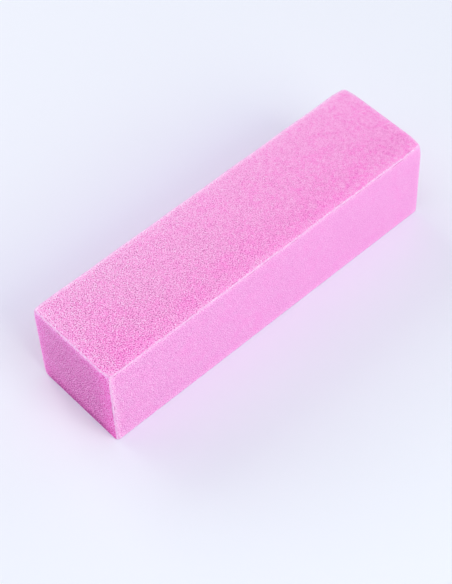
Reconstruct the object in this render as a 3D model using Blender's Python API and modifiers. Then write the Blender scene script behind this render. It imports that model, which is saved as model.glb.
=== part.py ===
"""Nail buffer block: a foam bar with an abrasive coat bonded to each of its six faces.

Metres, +Z up. The origin is the middle of the underside and X runs along the bar. Front is -Y
and the left end is -X. Every face carries two thin layers, a resin bond coat and the abrasive
coat that it holds. Both sit in a shallow seat of the foam, wrap a little way round the arrises
and stop short of each other, so that a thin line of bare foam shows along every arris.
"""

import bmesh
import bpy
from mathutils import Vector

# Driving dimensions
LENGTH = 0.0950
WIDTH = 0.0258
HEIGHT = 0.0242
EDGE_RADIUS = 0.0010
ABRASIVE_THICKNESS = 0.00035
BOND_THICKNESS = 0.00012
# Kept all round each layer; a wider gap would be as thick as the layers themselves
LAYER_GAP = 0.00005

# Facets across an arris: an even number, so that one edge loop runs along its middle
ARRIS_FACETS = 8
WRAPPED_FACETS = 3  # the facets that a coat covers on its side of the arris

BLOCK_NAME = "nail_buffer_block"
FACES = {
    "top": Vector((0, 0, 1)),
    "bottom": Vector((0, 0, -1)),
    "front": Vector((0, -1, 0)),
    "back": Vector((0, 1, 0)),
    "left_end": Vector((-1, 0, 0)),
    "right_end": Vector((1, 0, 0)),
}

# Material values: linear colour, roughness
FOAM_FINISH = ((0.90, 0.55, 0.80, 1.0), 0.85)
BOND_FINISH = ((0.85, 0.30, 0.62, 1.0), 0.45)
ABRASIVE_FINISH = ((0.90, 0.36, 0.72, 1.0), 0.80)


def clear_scene():
    for obj in list(bpy.data.objects):
        bpy.data.objects.remove(obj)


def make_material(name, finish):
    color, roughness = finish
    material = bpy.data.materials.new(name)
    material.use_nodes = True
    shader = material.node_tree.nodes["Principled BSDF"]
    shader.inputs["Base Color"].default_value = color
    shader.inputs["Roughness"].default_value = roughness
    shader.inputs["Metallic"].default_value = 0.0
    return material


def rounded_block():
    """The block's outer surface: a box with every edge and corner rounded."""
    surface = bmesh.new()
    bmesh.ops.create_cube(surface, size=1.0)
    bmesh.ops.scale(surface, vec=(LENGTH, WIDTH, HEIGHT), verts=surface.verts)
    bmesh.ops.translate(surface, vec=(0, 0, HEIGHT / 2), verts=surface.verts)
    bmesh.ops.bevel(
        surface,
        geom=list(surface.edges),
        offset=EDGE_RADIUS,
        offset_type="OFFSET",
        segments=ARRIS_FACETS,
        profile=0.5,
        affect="EDGES",
    )
    bmesh.ops.recalc_face_normals(surface, faces=surface.faces)
    return surface


def outward(point):
    """The outward direction of the rounded surface at a point on it or below it."""
    inner = Vector(
        (
            max(-LENGTH / 2 + EDGE_RADIUS, min(LENGTH / 2 - EDGE_RADIUS, point.x)),
            max(-WIDTH / 2 + EDGE_RADIUS, min(WIDTH / 2 - EDGE_RADIUS, point.y)),
            max(EDGE_RADIUS, min(HEIGHT - EDGE_RADIUS, point.z)),
        )
    )
    return (point - inner).normalized()


def sink(verts, depth):
    """Moves points of the rounded surface straight into the block."""
    for vert in verts:
        vert.co -= outward(vert.co) * depth


def coated_region(surface, direction):
    """The flat face that looks in a direction, grown over its share of the arrises round it."""
    flat = max(surface.faces, key=lambda face: face.calc_center_median().dot(direction))
    region = {flat}
    for _ in range(WRAPPED_FACETS):
        region = {near for face in region for vert in face.verts for near in vert.link_faces}
    return region


def mesh_object(name, surface, material, collection, root):
    mesh = bpy.data.meshes.new(name)
    surface.to_mesh(mesh)
    surface.free()
    mesh.shade_smooth()
    mesh.materials.append(material)
    obj = bpy.data.objects.new(name, mesh)
    collection.objects.link(obj)
    obj.parent = root
    return obj


def make_foam_core(collection, root):
    """The bar, with a seat sunk into each face as deep as the layers that lie in it."""
    seat_depth = ABRASIVE_THICKNESS + BOND_THICKNESS + 2 * LAYER_GAP
    surface = rounded_block()
    for direction in FACES.values():
        region = list(coated_region(surface, direction))
        grown = bmesh.ops.extrude_face_region(surface, geom=region)["geom"]
        bmesh.ops.delete(surface, geom=region, context="FACES_ONLY")
        sink([item for item in grown if isinstance(item, bmesh.types.BMVert)], seat_depth)
    bmesh.ops.recalc_face_normals(surface, faces=surface.faces)
    material = make_material("foam", FOAM_FINISH)
    return mesh_object("foam_core", surface, material, collection, root)


def make_layer(name, direction, depth, thickness, finish, collection, root):
    """One thin layer: the coated region of a face, drawn in from its seat's wall and thickened."""
    surface = rounded_block()
    region = coated_region(surface, direction)
    bmesh.ops.delete(surface, geom=[f for f in surface.faces if f not in region], context="FACES")
    ring = bmesh.ops.inset_region(
        surface,
        faces=list(surface.faces),
        thickness=LAYER_GAP,
        use_even_offset=True,
        use_boundary=True,
    )["faces"]
    bmesh.ops.delete(surface, geom=ring, context="FACES")
    sink(surface.verts, depth)
    layer = mesh_object(name, surface, make_material(name, finish), collection, root)
    shell = layer.modifiers.new("thickness", "SOLIDIFY")
    shell.thickness = thickness
    shell.offset = -1.0
    shell.use_even_offset = True
    return layer


def make_coats(collection, root):
    bond_depth = ABRASIVE_THICKNESS + LAYER_GAP
    for face, direction in FACES.items():
        make_layer(
            f"{face}_abrasive_coat",
            direction,
            0.0,
            ABRASIVE_THICKNESS,
            ABRASIVE_FINISH,
            collection,
            root,
        )
        make_layer(
            f"{face}_bond_coat",
            direction,
            bond_depth,
            BOND_THICKNESS,
            BOND_FINISH,
            collection,
            root,
        )


def main():
    clear_scene()
    collection = bpy.data.collections.new(BLOCK_NAME)
    bpy.context.scene.collection.children.link(collection)
    root = bpy.data.objects.new(BLOCK_NAME, None)
    collection.objects.link(root)
    make_foam_core(collection, root)
    make_coats(collection, root)


main()
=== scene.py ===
"""Nail buffer block: grit coats, bond films and foam with their fine surface, floor, lights, camera.

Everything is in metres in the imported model's frame: X along the bar, front -Y, left end -X, +Z up.
"""

import math

import bmesh
import bpy
import numpy as np
from mathutils import Matrix, Quaternion, Vector, noise


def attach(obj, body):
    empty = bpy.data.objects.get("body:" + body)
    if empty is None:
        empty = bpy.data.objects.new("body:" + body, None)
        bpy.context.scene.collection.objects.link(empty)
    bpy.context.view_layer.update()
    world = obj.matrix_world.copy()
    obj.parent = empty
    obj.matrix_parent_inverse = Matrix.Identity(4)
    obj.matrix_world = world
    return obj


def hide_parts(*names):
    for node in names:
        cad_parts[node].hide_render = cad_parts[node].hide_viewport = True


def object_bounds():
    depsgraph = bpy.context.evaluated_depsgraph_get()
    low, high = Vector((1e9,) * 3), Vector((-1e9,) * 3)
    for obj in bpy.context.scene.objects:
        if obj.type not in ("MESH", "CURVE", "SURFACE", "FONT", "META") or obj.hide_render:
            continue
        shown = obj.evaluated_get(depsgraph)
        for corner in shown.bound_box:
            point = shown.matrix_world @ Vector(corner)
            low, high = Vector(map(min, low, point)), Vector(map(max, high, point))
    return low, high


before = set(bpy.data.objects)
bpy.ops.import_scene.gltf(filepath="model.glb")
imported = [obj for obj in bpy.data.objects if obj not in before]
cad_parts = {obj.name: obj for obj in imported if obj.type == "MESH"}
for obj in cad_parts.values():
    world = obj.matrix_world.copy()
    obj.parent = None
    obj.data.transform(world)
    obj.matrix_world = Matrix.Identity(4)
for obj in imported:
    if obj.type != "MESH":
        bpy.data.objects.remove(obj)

CAD_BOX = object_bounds()
LOW, HIGH = (np.array(corner, float) for corner in CAD_BOX)
MIDDLE = (LOW + HIGH) / 2
HALF = (HIGH - LOW) / 2
MM = 0.001

# The arris, as in the CAD: its radius, and how far round it a coat wraps from its own face
ARRIS_RADIUS = 1.0 * MM
WRAP = math.radians(33.75)
MITRE = math.radians(45.0)

# Hidden surfaces, as depths on the flat of a face, before an offset that keeps their rims apart
GRIT_UNDERSIDE = 0.35 * MM
BOND_TOP = 0.38 * MM
BOND_UNDERSIDE = 0.50 * MM
SEAT_DEPTH = 0.54 * MM
LAYER_OFFSET = 0.05 * MM
SEAT_OFFSET = 0.06 * MM
FEATHER = 0.06  # the share of its depth that a layer keeps at its very edge

# Outward direction and the two in-plane directions of each face, longest first
FACES = {
    "top": ((0, 0, 1), (1, 0, 0), (0, 1, 0)),
    "bottom": ((0, 0, -1), (1, 0, 0), (0, -1, 0)),
    "front": ((0, -1, 0), (1, 0, 0), (0, 0, 1)),
    "back": ((0, 1, 0), (-1, 0, 0), (0, 0, 1)),
    "left_end": ((-1, 0, 0), (0, -1, 0), (0, 0, 1)),
    "right_end": ((1, 0, 0), (0, 1, 0), (0, 0, 1)),
}


# ---------------------------------------------------------------- surface coordinates of a face


def taper(angle):
    """The share of its depth that a layer keeps round an arris: whole on the flat, least at its edge."""
    share = np.clip(1 - angle / WRAP, 0, 1)
    return FEATHER + (1 - FEATHER) * share * share * (3 - 2 * share)


class Face:
    """A face of the block as a sheet: (s, t) is the arc length from its centre, over the arrises too."""

    def __init__(self, name):
        self.out, self.u, self.v = (np.array(axis, float) for axis in FACES[name])
        self.centre = MIDDLE + self.out * abs(HALF @ self.out)
        self.flat_u = abs(HALF @ self.u) - ARRIS_RADIUS
        self.flat_v = abs(HALF @ self.v) - ARRIS_RADIUS

    def on_flat(self, s, t):
        """The point of the flat that is nearest to (s, t)."""
        return np.clip(s, -self.flat_u, self.flat_u), np.clip(t, -self.flat_v, self.flat_v)

    def place(self, s, t, depth):
        """Points at (s, t), that depth below the nominal surface, and the outward directions there."""
        flat_s, flat_t = self.on_flat(s, t)
        lean_s = np.tan((s - flat_s) / ARRIS_RADIUS)
        lean_t = np.tan((t - flat_t) / ARRIS_RADIUS)
        normal = lean_s[..., None] * self.u + lean_t[..., None] * self.v + self.out
        normal /= np.linalg.norm(normal, axis=-1, keepdims=True)
        inner = self.centre - self.out * ARRIS_RADIUS
        inner = inner + flat_s[..., None] * self.u + flat_t[..., None] * self.v
        return inner + normal * (ARRIS_RADIUS - depth)[..., None], normal

    def lean(self, s, t):
        """How far round the nearer arris a point is, as an angle: 0 all over the flat."""
        over_s = np.maximum(np.abs(s) - self.flat_u, 0)
        over_t = np.maximum(np.abs(t) - self.flat_v, 0)
        return np.maximum(over_s, over_t) / ARRIS_RADIUS

    def scaled_round(self, s, t, share_s, share_t):
        """(s, t) with the stretch that is round an arris scaled by a share, one for each direction."""
        flat_s, flat_t = self.on_flat(s, t)
        return flat_s + (s - flat_s) * share_s, flat_t + (t - flat_t) * share_t

    def hidden_depth(self, s, t, depth, offset=LAYER_OFFSET):
        """How deep a hidden surface lies at (s, t), when it has that depth on the flat."""
        return depth * taper(self.lean(s, t)) + offset


# ---------------------------------------------------------------- shape of the whole block

# How far each corner of the block is worn back: its signs along X, Y and Z, depth, reach
CORNER_WEAR = (
    ((1, -1, 1), 0.32 * MM, 2.4 * MM),
    ((1, 1, 1), 0.25 * MM, 2.6 * MM),
    ((-1, 1, 1), 0.10 * MM, 1.8 * MM),
    ((-1, -1, 1), 0.40 * MM, 2.2 * MM),
    ((-1, 1, -1), 0.08 * MM, 2.0 * MM),
)
# 2 would leave the lower arrises round; more squares them, as the foam's weight does
SETTLED_POWER = 4.0

# Slow waves in the cut faces: wavelengths along X, Y and Z, the way each pushes, and its phase
WAVES = (
    ((17 * MM, 90 * MM, 60 * MM), (0.0, 1.0, 0.3), 0.4),
    ((11 * MM, -50 * MM, 40 * MM), (0.0, 0.5, -0.8), 2.1),
    ((29 * MM, 60 * MM, -80 * MM), (0.2, -0.7, 0.9), 4.0),
)
WAVE_HEIGHT = 0.035 * MM
WAVES_WHOLE_AT = 4 * MM  # they grow from nothing at the floor to their whole height here
RIGHT_END_OUT = 0.12 * MM  # the bar is cut that much long at its right end


def settled(points):
    """The arrises round the underside, pressed squarer than the others."""
    flat = HALF[:2] - ARRIS_RADIUS
    offset = points[..., :2] - np.clip(points[..., :2], -flat, flat)
    out = np.hypot(offset[..., 0], offset[..., 1]) / ARRIS_RADIUS
    down = np.clip((LOW[2] + ARRIS_RADIUS - points[..., 2]) / ARRIS_RADIUS, 0, 1)
    round_sum = np.hypot(out, down)
    square_sum = (out**SETTLED_POWER + down**SETTLED_POWER) ** (1 / SETTLED_POWER)
    stretch = round_sum / np.maximum(square_sum, 1e-9) - 1
    stretch = np.where((out > 0) & (down > 0), stretch, 0)[..., None]
    moved = points.copy()
    moved[..., :2] += offset * stretch
    moved[..., 2:] -= down[..., None] * stretch * ARRIS_RADIUS
    return moved


def worn(points):
    """The block's own small unevenness, the same for every layer."""
    points = settled(points)
    for signs, depth, reach in CORNER_WEAR:
        signs = np.array(signs, float)
        near = np.exp(-np.sum((points - MIDDLE - signs * HALF) ** 2, axis=-1) / reach**2)
        points -= near[..., None] * depth * signs
    points[..., 0] += RIGHT_END_OUT * np.clip(points[..., 0] / HIGH[0], 0, 1)
    lifted = np.clip(points[..., 2] / WAVES_WHOLE_AT, 0, 1)[..., None]
    for lengths, push, phase in WAVES:
        angle = sum(points[..., i] / lengths[i] for i in range(3)) * 2 * math.pi + phase
        points += WAVE_HEIGHT * np.sin(angle)[..., None] * np.array(push) * lifted
    return points


# ---------------------------------------------------------------- grids of noise

GRIT_PITCH = 0.16 * MM  # between the points of a grit coat's grid

# The grains lie close together: how far apart, how much that varies, and the share that lies anyhow
GRAIN_SPACING = 0.40 * MM
SPACING_SPREAD = 0.60
LOOSE_GRAINS = 0.38
GRAIN_LIMIT = 2.4  # no grain is further than this from the mean, in spreads

CLUMP_SIZE = 0.17 * MM
BLOTCH_SIZE = 0.64 * MM
PATCH_SIZE = 2.2 * MM


def filtered(field, gain_at):
    """A grid of noise with each frequency, in cycles per grid step, scaled by gain_at; unit spread."""
    rows = np.fft.fftfreq(field.shape[0])[:, None]
    columns = np.fft.rfftfreq(field.shape[1])[None, :]
    gain = gain_at(np.hypot(rows, columns))
    result = np.fft.irfft2(np.fft.rfft2(field) * gain, s=field.shape)
    return (result - result.mean()) / result.std()


def smooth(field, size):
    """White noise blurred into soft shapes of that size."""
    sigma = size / GRIT_PITCH
    return filtered(field, lambda frequency: np.exp(-2 * (math.pi * sigma * frequency) ** 2))


def packed(field):
    """White noise sifted into even grains, each about as far from the next."""
    spacing = GRAIN_SPACING / GRIT_PITCH

    def gain(frequency):
        return LOOSE_GRAINS + np.exp(-(((frequency * spacing - 1) / SPACING_SPREAD) ** 2))

    return np.clip(filtered(field, gain), -GRAIN_LIMIT, GRAIN_LIMIT)


def grain_fields(rng, shape):
    """Noise of unit spread: single grains, clumps of them, blotches of the dye, and broad patches."""
    grain = packed(rng.standard_normal(shape))
    sizes = (CLUMP_SIZE, BLOTCH_SIZE, PATCH_SIZE)
    return (grain, *(smooth(rng.standard_normal(shape), size) for size in sizes))


# ---------------------------------------------------------------- meshes


def face_mesh(name, points, quads, caps, attributes):
    """A mesh from points, arrays of quads, many-sided caps, and named values for every point."""
    mesh = bpy.data.meshes.new(name)
    faces = np.concatenate(quads).tolist() + [cap.tolist() for cap in caps]
    mesh.from_pydata(points.tolist(), [], faces)
    for key, values in attributes.items():
        attribute = mesh.attributes.new(key, "FLOAT", "POINT")
        attribute.data.foreach_set("value", np.ascontiguousarray(values, np.float32))
    mesh.validate()
    return mesh


def add_piece(mesh, material, replaced):
    """The mesh as a smooth piece that rides on the root body and stands for one CAD node."""
    mesh.shade_smooth()
    mesh.materials.append(material)
    piece = bpy.data.objects.new(mesh.name, mesh)
    bpy.context.scene.collection.objects.link(piece)
    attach(piece, "root")
    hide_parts(replaced)
    return piece


def bridge(outer, inner):
    """Quads between two closed loops of the same length, seen from outside with outer going round."""
    return np.stack([outer, inner, np.roll(inner, -1), np.roll(outer, -1)], axis=1)


# ---------------------------------------------------------------- looks of the grit coats


def srgb(red, green, blue):
    """A display colour, 0 to 255, as the linear colour that a shader takes."""
    shares = [channel / 255 for channel in (red, green, blue)]
    linear = [s / 12.92 if s <= 0.04045 else ((s + 0.055) / 1.055) ** 2.4 for s in shares]
    return (*linear, 1.0)


# The deep, middle and pale colours of each material, first where it is plain, then where it shows the
# painted glow, saturated colour for light coming through the foam; the ends' colours are painted deeper
# and more saturated for the shade on the ends
DYES = {
    "grit_top": (
        (srgb(168, 56, 138), srgb(247, 157, 220), srgb(255, 226, 254)),
        (srgb(182, 38, 144), srgb(252, 137, 218), srgb(255, 212, 252)),
    ),
    "grit_side": (
        (srgb(184, 76, 166), srgb(242, 157, 223), srgb(254, 224, 250)),
        (srgb(198, 62, 168), srgb(247, 144, 221), srgb(254, 213, 248)),
    ),
    # the ends' set: painted shade, deeper and more saturated than on the other faces
    "grit_end_painted_shade": (
        (srgb(150, 56, 124), srgb(228, 116, 197), srgb(253, 198, 244)),
        (srgb(210, 42, 152), srgb(255, 128, 220), srgb(255, 198, 249)),
    ),
}

# How each face's grit looks. Sides are named along the face's own directions, widths are in mm.
# contrast: how strongly the grains show, halfway along the bar
# clumps: how much they bunch, halfway along the bar
# blotches: how unevenly the dye lies
# glow bands: painted glow, saturated colour that stands in for light coming through the foam near the
# edges
# pale and dark bands: where the coat pales, or darkens where the strength is negative; the dark bands
# along -v on the ends are painted shade at their foot, where the block meets the floor
# slopes: a lean of tone and of painted glow across the face, along u and along v
ALL_ROUND = (("+u", 0.9, 0.10), ("-u", 0.9, 0.10), ("+v", 0.9, 0.10), ("-v", 0.9, 0.10))
BROAD = {
    "dye": "grit_top",
    "contrast": 0.51,
    "clumps": 0.044,
    "blotches": 0.12,
    "blotches_and_painted_glow": (("-v", 6.0, 0.27), ("-u-v", 16.0, 0.30), ("-u", 14.0, 0.17)),
    "pale_and_dark_bands": ALL_ROUND
    + (("+v", 0.7, 0.22), ("+v", 3.0, 0.03), ("+u", 0.7, 0.10), ("-u", 2.4, 0.03))
    + (("-v", 0.8, -0.06), ("-v", 2.4, 0.05)),
    "tone_slope": (-0.012, 0.03),
    "painted_glow_slope": (-0.065, -0.16),
}
SIDE = {
    "dye": "grit_side",
    "contrast": 0.37,
    "clumps": 0.012,
    "blotches": 0.09,
    "blotches_and_painted_glow": (("-v", 1.2, 0.10),),
    "pale_and_dark_bands": ALL_ROUND + (("-u", 1.0, 0.10),),
    "tone_slope": (0.008, 0.0),
    "painted_glow_slope": (-0.07, 0.0),
}
END = {
    "dye": "grit_end_painted_shade",
    "contrast": 0.57,
    "clumps": 0.01,
    "blotches": 0.05,
    # painted glow along the end's edges, where light comes through the foam
    "blotches_and_painted_glow": (("+u", 4.0, 0.95), ("-u", 2.8, 0.80), ("+v", 2.8, 0.55)),
    "pale_and_dark_bands": (("+v", 0.8, 0.25), ("+u", 0.8, 0.06), ("-u", 0.9, 0.24))
    # the darker bands along -v are painted shade at the foot of the end, where it meets the floor
    + (("-v", 2.0, -0.25), ("-v", 3.6, -0.06), ("+u-v", 2.0, 0.26), ("-u-v", 2.0, 0.32)),
    "tone_slope": (-0.05, 0.032),
    "painted_glow_slope": (0.0, 0.0),
}
COATS = {
    "top": {"seed": 11, **BROAD},
    "bottom": {"seed": 12, **BROAD},
    "front": {"seed": 13, **SIDE},
    "back": {"seed": 14, **SIDE},
    "left_end": {"seed": 15, **END},
    "right_end": {"seed": 16, **END},
}
CONTRAST_SLOPE = 0.80  # the grains show that share more at the left end, and less at the right
CLUMP_GLOW = 3.0  # how much clearer the dye shows between clumps, for how much they bunch
PATCHES = 0.8  # how much the dye varies from patch to patch, against from blotch to blotch
PATCH_TONE = 0.004  # how much paler a patch is that has more of the dye


def bands(face, s, t, specs):
    """Soft bands along the named sides of a face, summed; two sides together make a corner patch."""
    reach_u = face.flat_u + ARRIS_RADIUS * MITRE
    reach_v = face.flat_v + ARRIS_RADIUS * MITRE
    inset = {"+u": reach_u - s, "-u": reach_u + s, "+v": reach_v - t, "-v": reach_v + t}
    total = np.zeros(s.shape)
    for sides, width, strength in specs:
        near = [sides[i : i + 2] for i in range(0, len(sides), 2)]
        away = sum((inset[side] / (width * MM)) ** 2 for side in near)
        total += strength * np.exp(-away)
    return total


def sloped(face, s, t, slope):
    return slope[0] * s / face.flat_u + slope[1] * t / face.flat_v


def coat_look(face, look, along_x, s, t, fields):
    """What the grit material reads at every point of a coat: its grain, its tone with painted shade at
    the foot of the ends, and its painted glow mixed with the dye's blotches.
    """
    grain, clump, blotch, patch = fields
    # no clumps at the left end, and twice the face's own amount at the right
    bunched = look["clumps"] * (1 + along_x) * clump
    # the pale and dark bands carry painted shade at the foot of each end; a patch with more dye is a
    # little paler
    tone = bands(face, s, t, look["pale_and_dark_bands"]) + PATCH_TONE * patch
    tone += sloped(face, s, t, look["tone_slope"])
    # painted glow in bands and leans, with the dye's blotches and patches in the same mix and the clumps
    # holding it back
    blotches_and_painted_glow = bands(face, s, t, look["blotches_and_painted_glow"])
    blotches_and_painted_glow += look["blotches"] * (1 + blotch + PATCHES * patch) - CLUMP_GLOW * bunched
    blotches_and_painted_glow += sloped(face, s, t, look["painted_glow_slope"])
    return {
        "grain": look["contrast"] * (1 - CONTRAST_SLOPE * along_x) * grain + bunched,
        "tone": tone,
        "blotches_and_painted_glow": np.clip(blotches_and_painted_glow, 0, 1),
    }


# ---------------------------------------------------------------- shapes of the grit coats

MEAN_DEPTH = 0.03 * MM
RESTING_DEPTH = 0.11 * MM  # underneath, so that no grain reaches below the floor
EDGE_DEPTH = 0.3  # about the share of that depth, and of the relief, that is left at a coat's edge
GRAIN_RELIEF = 0.027 * MM
FAINT_RELIEF = 0.4  # the share of it that grains would have if they didn't show at all
RELIEF_SLOPE = 0.40  # the grains stand up that share more at the left end, and less at the right
PATCH_RELIEF = 0.010 * MM
UNDERSIDE_RINGS = (1.0, 0.6, 0.2)  # as shares of how far round the arris the coat's edge is

# How a coat's edge runs: its unevenness as a share of the wrap, how much of that is from grain to
# grain and how much over a few grains, the run of those in grid steps, and its limits in spreads
RAGGED = 0.24
EDGE_GRAINS = 0.45
EDGE_RUNS = 0.9
EDGE_RUN_STEPS = 3.0
EDGE_RANGE = (-1.6, 1.2)


def ragged_edge(rng, count):
    """A wandering line of about unit spread, for one side of a coat."""
    line = rng.standard_normal(count)
    reach = round(4 * EDGE_RUN_STEPS)
    kernel = np.exp(-0.5 * (np.arange(-reach, reach + 1) / EDGE_RUN_STEPS) ** 2)
    slow = np.convolve(np.pad(line, reach, mode="wrap"), kernel / kernel.sum(), mode="valid")
    fast = rng.standard_normal(count)
    return np.clip(EDGE_GRAINS * fast + EDGE_RUNS * slow / slow.std(), *EDGE_RANGE)


def coat_grid(face, rng):
    """(s, t) all over a coat, with an edge that wanders on each of its four sides."""
    reach_u = face.flat_u + ARRIS_RADIUS * WRAP
    reach_v = face.flat_v + ARRIS_RADIUS * WRAP
    count_u = round(2 * reach_u / GRIT_PITCH) + 1
    count_v = round(2 * reach_v / GRIT_PITCH) + 1
    line_u = np.linspace(-reach_u, reach_u, count_u)
    line_v = np.linspace(-reach_v, reach_v, count_v)
    s, t = np.meshgrid(line_u, line_v, indexing="ij")
    sides = [1 + RAGGED * ragged_edge(rng, n) for n in (count_u, count_u, count_v, count_v)]
    share_s = np.where(s < 0, sides[2][None, :], sides[3][None, :])
    share_t = np.where(t < 0, sides[0][:, None], sides[1][:, None])
    return face.scaled_round(s, t, share_s, share_t)


def grid_quads(index):
    """Quads over a grid of point numbers."""
    quads = np.stack([index[:-1, :-1], index[1:, :-1], index[1:, 1:], index[:-1, 1:]], axis=-1)
    # every other quad starts one corner on, so that the diagonals favour no direction
    odd = np.indices(quads.shape[:2]).sum(axis=0) % 2 == 1
    quads[odd] = np.roll(quads[odd], 1, axis=-1)
    return quads.reshape(-1, 4)


def grit_coat(face_name, material):
    """One face's coat: a grid with every grain in relief, closed underneath by one plain cap."""
    face, look = Face(face_name), COATS[face_name]
    rng = np.random.default_rng(look["seed"])
    s, t = coat_grid(face, rng)
    fields = grain_fields(rng, s.shape)
    # -1 at the bar's left end, 1 at its right; the right end's own face counts as the middle
    along_x = s * face.u[0] / HIGH[0] + min(face.out[0], 0)

    shown = FAINT_RELIEF + (1 - FAINT_RELIEF) * look["contrast"]
    relief = GRAIN_RELIEF * shown * (1 - RELIEF_SLOPE * along_x)
    height = relief * fields[0] + PATCH_RELIEF * fields[-1]
    if face_name == "bottom":
        depth = np.maximum(RESTING_DEPTH - height, 0)
    else:
        depth = MEAN_DEPTH - height
    depth *= EDGE_DEPTH + (1 - EDGE_DEPTH) * taper(face.lean(s, t))
    points = [face.place(s, t, depth)[0].reshape(-1, 3)]

    index = np.arange(s.size).reshape(s.shape)
    rim = np.concatenate([index[:, 0], index[-1, 1:], index[-2::-1, -1], index[0, -2:0:-1]])
    rim_s, rim_t = s.ravel()[rim], t.ravel()[rim]
    loops, total = [rim], s.size
    for share in UNDERSIDE_RINGS:
        ring_s, ring_t = face.scaled_round(rim_s, rim_t, share, share)
        depth = face.hidden_depth(ring_s, ring_t, GRIT_UNDERSIDE)
        points.append(face.place(ring_s, ring_t, depth)[0])
        loops.append(np.arange(total, total + len(rim)))
        total += len(rim)

    values = coat_look(face, look, along_x, s, t, fields)
    below = np.zeros(total - s.size)
    attributes = {key: np.concatenate([field.ravel(), below]) for key, field in values.items()}
    quads = [grid_quads(index)] + [bridge(a, b) for a, b in zip(loops, loops[1:])]
    points = worn(np.concatenate(points))
    mesh = face_mesh(f"{face_name}_grit_coat", points, quads, [loops[-1][::-1]], attributes)
    add_piece(mesh, material, f"{face_name}_abrasive_coat")


# ---------------------------------------------------------------- bond films

BOND_PITCH = 1.6 * MM
BOND_CORNER_STEPS = 3
# From the film's top, round its edge, to its underside: share of the wrap, and depth on the flat
BOND_PROFILE = (
    (0.2, BOND_TOP),
    (0.6, BOND_TOP),
    (0.92, BOND_TOP),
    (0.92, BOND_UNDERSIDE),
    (0.6, BOND_UNDERSIDE),
    (0.2, BOND_UNDERSIDE),
)


def ring(face, angle, pitch, corner_steps):
    """(s, t) all round a face at one angle over its arrises, anticlockwise seen from outside."""
    arc = ARRIS_RADIUS * np.linspace(0, angle, corner_steps + 1)[1:]

    def line(flat):
        along = np.linspace(-flat, flat, round(2 * flat / pitch) + 1)
        return np.concatenate([-flat - arc[::-1], along, flat + arc])

    line_u, line_v = line(face.flat_u), line(face.flat_v)
    far_u, far_v = line_u[-1], line_v[-1]
    right, left = np.full(len(line_v) - 1, far_u), np.full(len(line_v) - 2, -far_u)
    lower, upper = np.full(len(line_u), -far_v), np.full(len(line_u) - 1, far_v)
    s = np.concatenate([line_u, right, line_u[-2::-1], left])
    t = np.concatenate([lower, line_v[1:], upper, line_v[-2:0:-1]])
    return s, t


def bond_film(face_name, material):
    """The resin film between foam and grit: a thin plate that feathers out round the arrises."""
    face = Face(face_name)
    points, loops, total = [], [], 0
    for share, depth in BOND_PROFILE:
        s, t = ring(face, WRAP * share, BOND_PITCH, BOND_CORNER_STEPS)
        points.append(face.place(s, t, face.hidden_depth(s, t, depth))[0])
        loops.append(np.arange(total, total + len(s)))
        total += len(s)
    points = worn(np.concatenate(points))
    quads = [bridge(a, b) for a, b in zip(loops, loops[1:])]
    caps = [loops[0], loops[-1][::-1]]
    mesh = face_mesh(f"{face_name}_bond_film", points, quads, caps, {})
    add_piece(mesh, material, f"{face_name}_bond_coat")


# ---------------------------------------------------------------- the foam

FOAM_PITCH = 0.2 * MM
FOAM_CORNER_STEPS = 5
# From the mitre between two faces down to the seat under a coat: angle over the arris, and depth
FOAM_PROFILE = (
    (MITRE, 0.0),
    (MITRE * 0.92, 0.0),
    (MITRE * 0.84, 0.0),
    (WRAP, 0.0),
    (WRAP * 0.8, SEAT_DEPTH),
    (WRAP * 0.5, SEAT_DEPTH),
    (WRAP * 0.2, SEAT_DEPTH),
)
WELD = 0.002 * MM  # the rings of neighbouring faces meet at the mitre, and are joined within this

# The foam's cells, in two sizes: noise scales per metre, the share of the finer, how far they stand
# out, and how far the skin between them is sunk
COARSE_CELLS = 2600
FINE_CELLS = 6200
FINE_SHARE = 0.6
CELL_RELIEF = 0.035 * MM
CELL_SINK = 0.01 * MM


def cell_height(point):
    """How far the foam's skin stands out at a point."""
    place = Vector(point)
    cells = noise.noise(place * COARSE_CELLS) + FINE_SHARE * noise.noise(place * FINE_CELLS)
    return cells * CELL_RELIEF - CELL_SINK


def foam_body(material):
    """The foam bar: sunk seats under the coats, and bare foam with its cells along the arrises."""
    bm = bmesh.new()
    for name in FACES:
        face = Face(name)
        previous = None
        for angle, depth in FOAM_PROFILE:
            s, t = ring(face, angle, FOAM_PITCH, FOAM_CORNER_STEPS)
            if depth:
                points, _ = face.place(s, t, face.hidden_depth(s, t, depth, SEAT_OFFSET))
            else:
                points, normals = face.place(s, t, np.zeros(len(s)))
                points += normals * np.array([cell_height(point) for point in points])[:, None]
            loop = [bm.verts.new(point) for point in worn(points)]
            if previous:
                for i in range(len(loop)):
                    k = (i + 1) % len(loop)
                    bm.faces.new((previous[i], previous[k], loop[k], loop[i]))
            previous = loop
        bm.faces.new(previous)
    bmesh.ops.remove_doubles(bm, verts=bm.verts, dist=WELD)
    bmesh.ops.recalc_face_normals(bm, faces=bm.faces)
    mesh = bpy.data.meshes.new("foam_body")
    bm.to_mesh(mesh)
    bm.free()
    piece = add_piece(mesh, material, "foam_core")


# ---------------------------------------------------------------- materials


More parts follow.
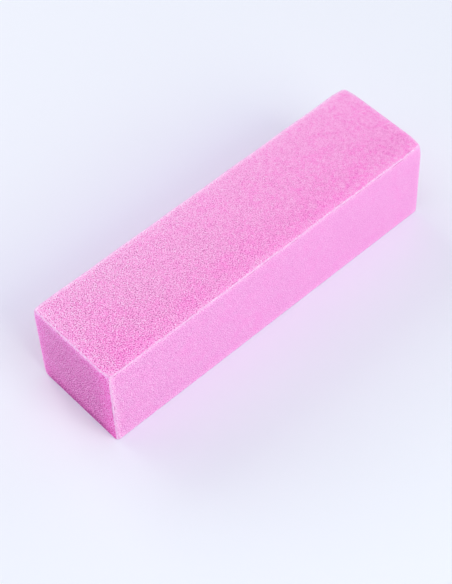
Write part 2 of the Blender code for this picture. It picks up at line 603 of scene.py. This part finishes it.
class Nodes:
    """A material's node tree, with the few helpers that the materials below share."""

    def __init__(self, name):
        self.material = bpy.data.materials.new(name)
        self.material.use_nodes = True
        self.tree = self.material.node_tree
        self.shader = self.tree.nodes["Principled BSDF"]

    def add(self, kind, **settings):
        node = self.tree.nodes.new(kind)
        for key, value in settings.items():
            setattr(node, key, value)
        return node

    def link(self, source, target):
        self.tree.links.new(source, target)

    def surface(self, color, roughness):
        """The colour, from a socket, and the roughness, one number all over."""
        self.link(color, self.shader.inputs["Base Color"])
        self.shader.inputs["Roughness"].default_value = roughness

    def math(self, operation, first, second):
        """A sum or product of a socket with another socket or with a plain number."""
        node = self.add("ShaderNodeMath", operation=operation)
        self.link(first, node.inputs[0])
        if isinstance(second, float):
            node.inputs[1].default_value = second
        else:
            self.link(second, node.inputs[1])
        return node.outputs[0]

    def noise(self, scale, roughness):
        coordinates = self.add("ShaderNodeTexCoord").outputs["Object"]
        texture = self.add("ShaderNodeTexNoise")
        texture.inputs["Scale"].default_value = scale
        texture.inputs["Detail"].default_value = 3.0
        texture.inputs["Roughness"].default_value = roughness
        self.link(coordinates, texture.inputs["Vector"])
        return texture.outputs["Fac"]

    def specks(self, scale):
        """A shade of its own for every small cell, and how far each point is from its cell's middle."""
        coordinates = self.add("ShaderNodeTexCoord").outputs["Object"]
        cells = self.add("ShaderNodeTexVoronoi")
        cells.inputs["Scale"].default_value = scale
        self.link(coordinates, cells.inputs["Vector"])
        return cells.outputs["Color"], cells.outputs["Distance"]

    def mix(self, factor, first, second):
        node = self.add("ShaderNodeMix", data_type="RGBA")
        self.link(factor, node.inputs[0])
        self.link(first, node.inputs[6])
        self.link(second, node.inputs[7])
        return node.outputs[2]

    def attribute(self, name):
        return self.add("ShaderNodeAttribute", attribute_name=name).outputs["Fac"]

    def ramp(self, factor, stops):
        node = self.add("ShaderNodeValToRGB")
        elements = node.color_ramp.elements
        while len(elements) < len(stops):
            elements.new(0.5)
        for element, (position, color) in zip(elements, stops):
            element.position = position
            element.color = color
        self.link(factor, node.inputs["Fac"])
        return node.outputs["Color"]

    def bump(self, height, distance, strength):
        node = self.add("ShaderNodeBump")
        node.inputs["Distance"].default_value = distance
        node.inputs["Strength"].default_value = strength
        self.link(height, node.inputs["Height"])
        self.link(node.outputs["Normal"], self.shader.inputs["Normal"])


SPECKS_PER_METRE = 9000
SPECK_BUMP = -0.03 * MM  # downwards, because a speck's height falls away from its middle

# Where a point lies between the deep and the pale colour: a middle, and what each influence adds
TONE_MIDDLE = 0.40
TONE_OF_GRAIN = 0.34
TONE_OF_SPECK = 0.20


def grit_material(name, plain, glow_colors):
    """Grains set in dyed resin: deep pink between grains, paler where they stand up.

    The first colours are the deep, middle and pale ones of the plain coat, the second those where it
    shows the painted glow, saturated colour for light coming through the foam near the edges.
    """
    nodes = Nodes(name)
    shade, away = nodes.specks(SPECKS_PER_METRE)
    factor = nodes.math("MULTIPLY", nodes.attribute("grain"), TONE_OF_GRAIN)
    factor = nodes.math("ADD", factor, nodes.attribute("tone"))
    factor = nodes.math("ADD", factor, nodes.math("MULTIPLY", shade, TONE_OF_SPECK))
    factor = nodes.math("ADD", factor, TONE_MIDDLE)
    stops = (0.0, 0.5, 1.0)
    plain_color = nodes.ramp(factor, list(zip(stops, plain)))
    glow_color = nodes.ramp(factor, list(zip(stops, glow_colors)))
    # the painted glow mixes in the saturated colours
    nodes.surface(nodes.mix(nodes.attribute("blotches_and_painted_glow"), plain_color, glow_color), 0.8)
    nodes.shader.inputs["Specular IOR Level"].default_value = 0.25
    nodes.bump(away, SPECK_BUMP, 0.8)
    return nodes.material


def bond_material():
    """Dyed resin, glossier than the grit, with a faint ripple."""
    nodes = Nodes("bond_resin")
    ripple = nodes.noise(900, 0.5)
    color = nodes.ramp(ripple, [(0.3, srgb(226, 120, 196)), (0.7, srgb(240, 158, 216))])
    nodes.surface(color, 0.4)
    nodes.bump(ripple, 0.03 * MM, 0.5)
    return nodes.material


def foam_material():
    """Pale open-cell foam, in beads a few tenths of a millimetre wide."""
    nodes = Nodes("foam")
    beads = nodes.noise(COARSE_CELLS, 0.6)
    color = nodes.ramp(beads, [(0.35, srgb(239, 160, 224)), (0.65, srgb(252, 210, 246))])
    nodes.surface(color, 0.85)
    nodes.bump(beads, 0.05 * MM, 0.5)
    return nodes.material


# ---------------------------------------------------------------- floor, light and camera

FLOOR_SIZE = 6.0
FLOOR_TINT = (0.83, 0.845, 0.94, 1.0)

# Soft lights round the block: azimuth and elevation in degrees, power in watts, tint
LIGHTS = {
    "front": (270, 35, 1.83, (0.94, 1.0, 0.69)),
    "back": (90, 35, 1.46, (0.92, 0.95, 0.83)),
    "left_back": (120, 12, 1.20, (0.97, 1.0, 0.95)),
    "left": (180, 12, 0.55, (1.0, 1.0, 0.95)),
    "right_front": (300, 12, 0.70, (0.80, 1.0, 0.78)),
    "right": (0, 12, 0.45, (1.0, 0.9, 1.0)),
    "above": (270, 60, 1.10, (0.62, 0.80, 1.0)),
}
LIGHT_TARGET = Vector((0, 0, 0.01))
LIGHT_DISTANCE = 0.70
LIGHT_SIZE = 0.45
WORLD_TINT = (0.95, 0.91, 1.0, 1.0)
WORLD_STRENGTH = 0.52

CAMERA_LENS = 106.1
CAMERA_AT = Vector((-0.15986, -0.18377, 0.32053))
CAMERA_TARGET = Vector((-0.00826, -0.00591, 0.012))
CAMERA_ROLL = math.radians(-2.74)


def make_floor():
    bpy.ops.mesh.primitive_plane_add(size=FLOOR_SIZE, location=(0, 0, 0))
    floor = bpy.context.object
    floor.name = "floor"
    nodes = Nodes("floor")
    nodes.shader.inputs["Base Color"].default_value = FLOOR_TINT
    nodes.shader.inputs["Roughness"].default_value = 0.6
    floor.data.materials.append(nodes.material)


def area_light(name, direction, power, tint):
    """A soft disk, out that way from the block and turned to it."""
    data = bpy.data.lights.new(name, "AREA")
    data.shape = "DISK"
    data.size = LIGHT_SIZE
    data.energy = power
    data.color = tint
    light = bpy.data.objects.new(name, data)
    light.location = LIGHT_TARGET + direction * LIGHT_DISTANCE
    light.rotation_euler = (-direction).to_track_quat("-Z", "Y").to_euler()
    bpy.context.scene.collection.objects.link(light)


def make_lights():
    for name, (azimuth, elevation, power, tint) in LIGHTS.items():
        around, up = math.radians(azimuth), math.radians(elevation)
        level = math.cos(up)
        direction = Vector((level * math.cos(around), level * math.sin(around), math.sin(up)))
        area_light(name, direction, power, tint)
    world = bpy.data.worlds.new("studio")
    world.use_nodes = True
    background = world.node_tree.nodes["Background"]
    background.inputs["Color"].default_value = WORLD_TINT
    background.inputs["Strength"].default_value = WORLD_STRENGTH
    bpy.context.scene.world = world


def make_camera():
    data = bpy.data.cameras.new("camera")
    data.lens = CAMERA_LENS
    data.clip_start = 0.01
    camera = bpy.data.objects.new("camera", data)
    aim = (CAMERA_TARGET - CAMERA_AT).to_track_quat("-Z", "Y")
    roll = Quaternion((0, 0, 1), CAMERA_ROLL)
    camera.matrix_world = Matrix.Translation(CAMERA_AT) @ (aim @ roll).to_matrix().to_4x4()
    bpy.context.scene.collection.objects.link(camera)
    bpy.context.scene.camera = camera


def main():
    bpy.context.scene.view_settings.view_transform = "Standard"
    make_camera()
    make_lights()
    make_floor()
    grits = {name: grit_material(name, *colors) for name, colors in DYES.items()}
    resin = bond_material()
    foam_body(foam_material())
    for name, look in COATS.items():
        grit_coat(name, grits[look["dye"]])
        bond_film(name, resin)


main()
